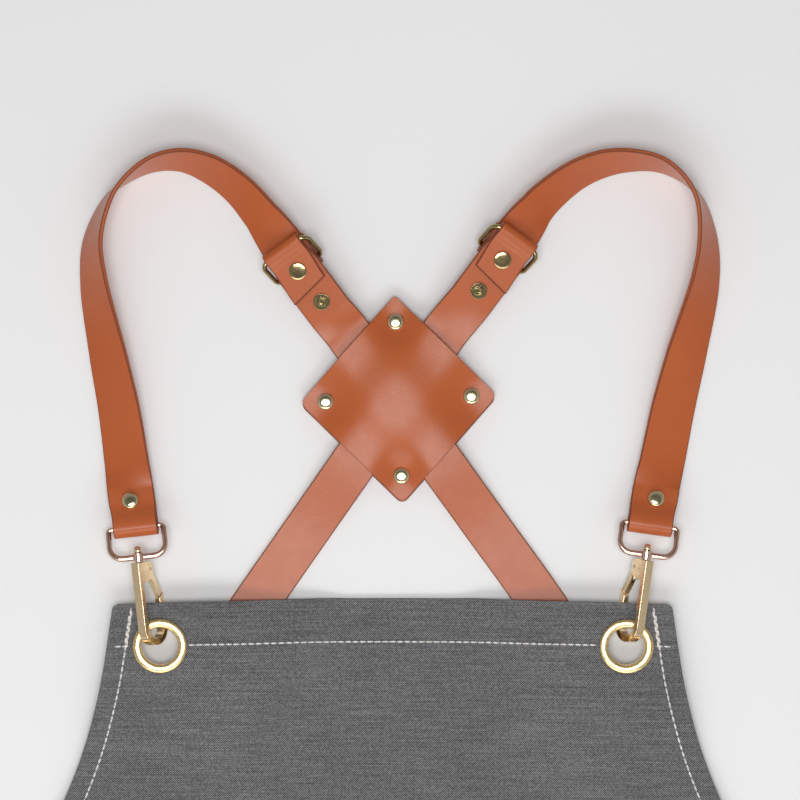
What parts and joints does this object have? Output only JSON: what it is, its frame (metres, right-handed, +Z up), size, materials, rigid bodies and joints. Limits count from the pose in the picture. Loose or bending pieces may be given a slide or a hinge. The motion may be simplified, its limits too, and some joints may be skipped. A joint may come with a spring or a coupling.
{
  "type": "denim bib apron with leather cross-back straps",
  "caption": "Denim bib apron laid flat, with leather shoulder straps that cross at the back under a riveted leather patch and clip to eyelets at the bib's corners.",
  "frame": {"origin": "on the table, under the middle of the whole spread", "axes": "+Y from the hem to the straps, +X to the viewer's right, +Z up out of the apron's front"},
  "size_m": [0.63, 1.0399, 0.0254],
  "materials": {
    "denim": "dark grey twill, matt",
    "leather": "tan, smooth, semi-matt",
    "gold": "polished gold plate",
    "rose_gold": "polished rose gold plate"
  },
  "bodies": {
    "apron": {"apron_panel": "denim", "bib_eyelet_left": "gold", "bib_eyelet_right": "gold", "bib_washer_left": "gold", "bib_washer_right": "gold", "clasp_loop_left": "rose_gold", "clasp_loop_right": "rose_gold", "clasp_hook_left": "gold", "clasp_hook_right": "gold", "clasp_pin_left": "gold", "clasp_pin_right": "gold", "shoulder_strap_left": "leather", "shoulder_strap_right": "leather", "strap_rivet_left": "gold", "strap_rivet_right": "gold", "back_strap_left": "leather", "back_strap_right": "leather", "strap_ring_left": "gold", "strap_ring_right": "gold", "tab_rivet_left": "gold", "tab_rivet_right": "gold", "snap_stud_left": "gold", "snap_stud_right": "gold", "waist_rivet_left": "gold", "waist_rivet_right": "gold", "patch_front": "leather", "patch_back": "leather", "patch_rivet_top": "gold", "patch_rivet_right": "gold", "patch_rivet_bottom": "gold", "patch_rivet_left": "gold"},
    "gate_left": {"clasp_gate_left": "gold"},
    "gate_right": {"clasp_gate_right": "gold"}
  },
  "joints": [
    {"name": "gate_left_hinge", "type": "hinge", "parent": "apron", "child": "gate_left", "pos_m": [-0.1326, 0.29291, 0.00935], "axis": [-0.8333, -0.0949, -0.5446], "range_deg": [0, 28], "stiffness_Nm_per_rad": 0.02, "springref_deg": -20.05},
    {"name": "gate_right_hinge", "type": "hinge", "parent": "apron", "child": "gate_right", "pos_m": [0.13253, 0.29432, 0.00935], "axis": [-0.8305, 0.1167, 0.5446], "range_deg": [0, 28], "stiffness_Nm_per_rad": 0.02, "springref_deg": -20.05}
  ]
}
